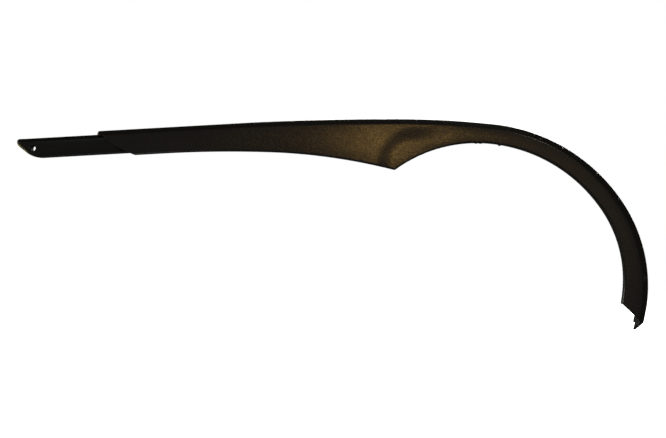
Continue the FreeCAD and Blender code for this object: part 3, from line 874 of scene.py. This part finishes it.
def build_object():
    black = moulded_plastic(
        "black_shell_plastic",
        dark=(0.0085, 0.0075, 0.0066, 1), warm=(0.013, 0.011, 0.0092, 1),
        sheen=(1.0, 0.95, 0.88, 1), roughness=0.197,
    )
    tail_black = moulded_plastic(
        "black_channel_plastic",
        dark=(0.0045, 0.0045, 0.0045, 1), warm=(0.0062, 0.006, 0.0056, 1),
        sheen=(0.8, 0.8, 0.8, 1), roughness=0.32,
    )
    brass = turned_metal("turned_brass", (0.74, 0.52, 0.22, 1), 0.3, 1800.0)
    steel = turned_metal("plated_steel", (0.62, 0.62, 0.6, 1), 0.28, 2400.0)
    oxide = turned_metal("black_oxide_steel", (0.02, 0.02, 0.022, 1), 0.75, 2400.0, 0.08)
    for make in (guard_shell, shell_bosses, shell_gussets):
        dress(make(), black, "guard", "guard_shell")
    for make in (tail_channel, slot_rails, stay_boss):
        dress(make(), tail_black, "tail", "tail_extension")
    for name, point in bracket_points().items():
        piece = threaded_insert(f"threaded_insert_{name}", point)
        dress(piece, brass, "guard", f"bracket_insert_{name}")
    for name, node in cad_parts.items():
        if name.startswith("lock_insert"):
            paint(node, brass)
        elif name.startswith("lock_"):
            paint(node, steel)
        elif name.startswith("stay_"):
            paint(node, oxide)


def paint(node, material):
    """Gives every material slot of a carried-over piece one material."""
    for place in node.material_slots:
        place.material = material


# Stage, light and camera

CENTRE = (CAD_BOX[0] + CAD_BOX[1]) / 2
VIEW_DISTANCE = 0.713
VIEW_WIDTH = 0.4623
VIEW_SHIFT = Vector((0.0005, 0.0, 0.0045))


def floor():
    bpy.ops.mesh.primitive_plane_add(size=30.0, location=(0, 0, CAD_BOX[0].z - 0.12))
    plane = bpy.context.object
    plane.name = "pale_floor"
    plane.data.materials.append(floor_material())
    plane.visible_diffuse = False
    plane.visible_glossy = False


def hang(data, place, target, power, colour):
    """Hangs a lamp at a place, turned to a target and hidden from the camera."""
    data.energy = power
    data.color = colour
    lamp = bpy.data.objects.new(data.name, data)
    lamp.location = place
    lamp.rotation_euler = (Vector(target) - Vector(place)).to_track_quat("-Z", "Y").to_euler()
    lamp.visible_camera = False
    bpy.context.scene.collection.objects.link(lamp)


def softbox(name, place, target, size, power, colour=(1, 1, 1)):
    """A flat rectangular lamp."""
    data = bpy.data.lights.new(name, "AREA")
    data.shape = "RECTANGLE"
    data.size, data.size_y = size
    hang(data, place, target, power, colour)


def edge_spot(name, place, target, power, colour, cone=14.0):
    """A small lamp with a narrow cone, for one edge only."""
    data = bpy.data.lights.new(name, "SPOT")
    data.spot_size = math.radians(cone)
    data.spot_blend = 0.6
    data.shadow_soft_size = 0.04
    hang(data, place, target, power, colour)


def backdrop():
    """A white backdrop for the eye, and on the object a faint even light from the front, fainter behind."""
    world = bpy.data.worlds.new("studio")
    bpy.context.scene.world = world
    world.use_nodes = True
    tree = world.node_tree
    tree.nodes.clear()
    seen = tree.nodes.new("ShaderNodeBackground")
    seen.inputs["Color"].default_value = (1, 1, 1, 1)
    place = tree.nodes.new("ShaderNodeTexCoord")
    axes = tree.nodes.new("ShaderNodeSeparateXYZ")
    share = tree.nodes.new("ShaderNodeMapRange")
    share.inputs["From Min"].default_value = -0.6
    share.inputs["From Max"].default_value = -0.1
    tint = tree.nodes.new("ShaderNodeMix")
    tint.data_type = "RGBA"
    tint.inputs[6].default_value = (0.132, 0.135, 0.139, 1)
    tint.inputs[7].default_value = (0.036, 0.039, 0.034, 1)
    lit = tree.nodes.new("ShaderNodeBackground")
    path = tree.nodes.new("ShaderNodeLightPath")
    mix = tree.nodes.new("ShaderNodeMixShader")
    out = tree.nodes.new("ShaderNodeOutputWorld")
    tree.links.new(place.outputs["Generated"], axes.inputs[0])
    tree.links.new(axes.outputs["Y"], share.inputs["Value"])
    tree.links.new(share.outputs["Result"], tint.inputs[0])
    tree.links.new(tint.outputs[2], lit.inputs["Color"])
    tree.links.new(path.outputs["Is Camera Ray"], mix.inputs[0])
    tree.links.new(lit.outputs[0], mix.inputs[1])
    tree.links.new(seen.outputs[0], mix.inputs[2])
    tree.links.new(mix.outputs[0], out.inputs[0])


def camera():
    data = bpy.data.cameras.new("camera")
    data.sensor_width = 36.0
    data.lens = data.sensor_width * VIEW_DISTANCE / VIEW_WIDTH
    eye = bpy.data.objects.new("camera", data)
    target = Vector((CENTRE.x, CAD_BOX[0].y, CENTRE.z)) + VIEW_SHIFT
    eye.location = target + Vector((0, -VIEW_DISTANCE, 0))
    eye.rotation_euler = (math.radians(90), 0, 0)
    bpy.context.scene.collection.objects.link(eye)
    bpy.context.scene.camera = eye
    return eye


def mirrored(eye, spot, far):
    """A place that the camera sees mirrored in the face at a spot, some times as far off as the camera."""
    out = eye.location - spot
    return spot + Vector((-out.x, out.y, -out.z)) * far


def lights(eye):
    """A small warm key mirrored at the fold, dim lamps that catch the edges, and panels that light the back."""
    spot = Vector((-0.066, RUN_FACE * MM, 0.003))
    softbox("key", mirrored(eye, spot, 1.9), spot, (0.15, 0.15), 0.65, (1.0, 0.62, 0.18))
    ring = Vector((0.06, RING_FACE * MM, -0.02))
    softbox("arc_fill", mirrored(eye, ring, 1.7), ring, (0.42, 0.42), 0.11, (1.0, 0.7, 0.4))
    ridge = Vector((0.03, RING_FACE * MM, 0.004))
    softbox("ridge_glint", ridge + Vector((0.42, -0.83, 0.6)), ridge, (0.04, 0.04), 0.5, (1.0, 0.9, 0.75))
    edge_spot("left_edge", (-0.66, -0.035, 0.03), (-0.29, -0.02, 0.008), 1.2, (1.0, 0.92, 0.36))
    edge_spot("tail_edge", (-0.62, 0.06, -0.15), (-0.32, -0.018, 0.0), 1.0, (1.0, 0.92, 0.36))
    softbox("low_edge", (-0.308, -0.165, -0.235), (-0.25, -0.02, 0), (0.14, 0.14), 0.07, (0.92, 0.95, 1.0))
    softbox("high_back", (0.25, 1.2, 0.95), CENTRE, (1.0, 0.8), 40.0, (1.0, 0.98, 0.95))
    softbox("back_left", (0.6, 1.4, 0.4), CENTRE, (0.8, 0.9), 13.0)
    softbox("back_right", (-1.15, 1.4, 0.35), CENTRE, (0.6, 0.9), 7.0)


build_object()
floor()
backdrop()
lights(camera())
bpy.context.scene.view_settings.view_transform = "Standard"
